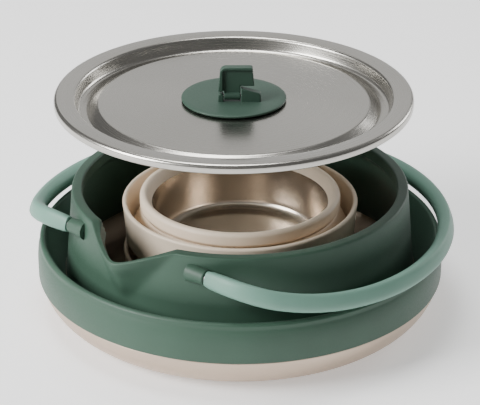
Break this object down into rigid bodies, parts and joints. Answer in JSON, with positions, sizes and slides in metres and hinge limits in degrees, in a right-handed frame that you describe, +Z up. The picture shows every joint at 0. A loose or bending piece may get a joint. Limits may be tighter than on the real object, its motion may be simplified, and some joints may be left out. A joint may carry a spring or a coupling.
{
  "type": "camping cook pot set",
  "caption": "Collapsible silicone pouring pot with a steel base, a folding bail and a lift-off steel lid with a pull tab, holding stacked collapsible bowls.",
  "frame": {"origin": "centre of the flat underside of the steel base pan", "axes": "+Z up along the pot's axis, -Y towards the pouring spout, +X to the right seen from the back"},
  "size_m": [0.2124, 0.2094, 0.1277],
  "materials": {
    "base_steel": "satin, bead-blasted",
    "lid_steel": "satin",
    "bowl_steel": "satin, soft reflections",
    "inner_steel": "plain, hidden inside other parts",
    "pot_silicone": "matt silicone",
    "knob_silicone": "matt silicone",
    "bail_silicone": "matt silicone",
    "bowl_silicone": "matt silicone"
  },
  "bodies": {
    "base": {"pot_pan": "base_steel", "pot_skirt": "pot_silicone", "pot_fold": "pot_silicone"},
    "wall": {"pot_wall": "pot_silicone", "rim_hoop": "inner_steel", "lug_bush_left": "inner_steel", "lug_bush_right": "inner_steel"},
    "bail": {"bail_grip": "bail_silicone", "bail_core": "inner_steel", "bail_pin_left": "inner_steel", "bail_pin_right": "inner_steel"},
    "lid": {"lid_plate": "lid_steel", "knob_seat": "knob_silicone", "knob_insert": "inner_steel", "knob_screw": "inner_steel", "knob_washer": "inner_steel", "knob_pin": "inner_steel"},
    "tab": {"knob_tab": "knob_silicone"},
    "lower_bowl": {"lower_pan": "bowl_steel", "lower_sleeve": "bowl_silicone", "lower_fold": "bowl_silicone"},
    "lower_rim": {"lower_wall": "bowl_silicone"},
    "upper_bowl": {"upper_pan": "bowl_steel", "upper_sleeve": "bowl_silicone", "upper_fold": "bowl_silicone"},
    "upper_rim": {"upper_wall": "bowl_silicone"}
  },
  "joints": [
    {"name": "pot_expand", "type": "slide", "parent": "base", "child": "wall", "axis": [0, 0, 1], "range_m": [0, 0.035], "deforming": ["pot_fold"]},
    {"name": "bail_swing", "type": "hinge", "parent": "wall", "child": "bail", "pos_m": [0, -0.076, 0.0555], "axis": [1, 0, 0], "range_deg": [0, 105]},
    {"name": "lid_lift", "type": "slide", "parent": "wall", "child": "lid", "axis": [-0.0488, -0.0403, 0.998], "range_m": [-0.0466, 0.11]},
    {"name": "tab_fold", "type": "hinge", "parent": "lid", "child": "tab", "pos_m": [0.00133, -0.00629, 0.1127], "axis": [-0.7705, -0.6374, 0], "range_deg": [0, 85]},
    {"name": "lower_lift", "type": "slide", "parent": "base", "child": "lower_bowl", "axis": [0, 0, 1], "range_m": [0, 0.045]},
    {"name": "lower_expand", "type": "slide", "parent": "lower_bowl", "child": "lower_rim", "axis": [0, 0, 1], "range_m": [0, 0.031], "deforming": ["lower_fold"]},
    {"name": "upper_lift", "type": "slide", "parent": "lower_rim", "child": "upper_bowl", "axis": [0, 0, 1], "range_m": [0, 0.045]},
    {"name": "upper_expand", "type": "slide", "parent": "upper_bowl", "child": "upper_rim", "axis": [0, 0, 1], "range_m": [0, 0.031], "deforming": ["upper_fold"]}
  ]
}
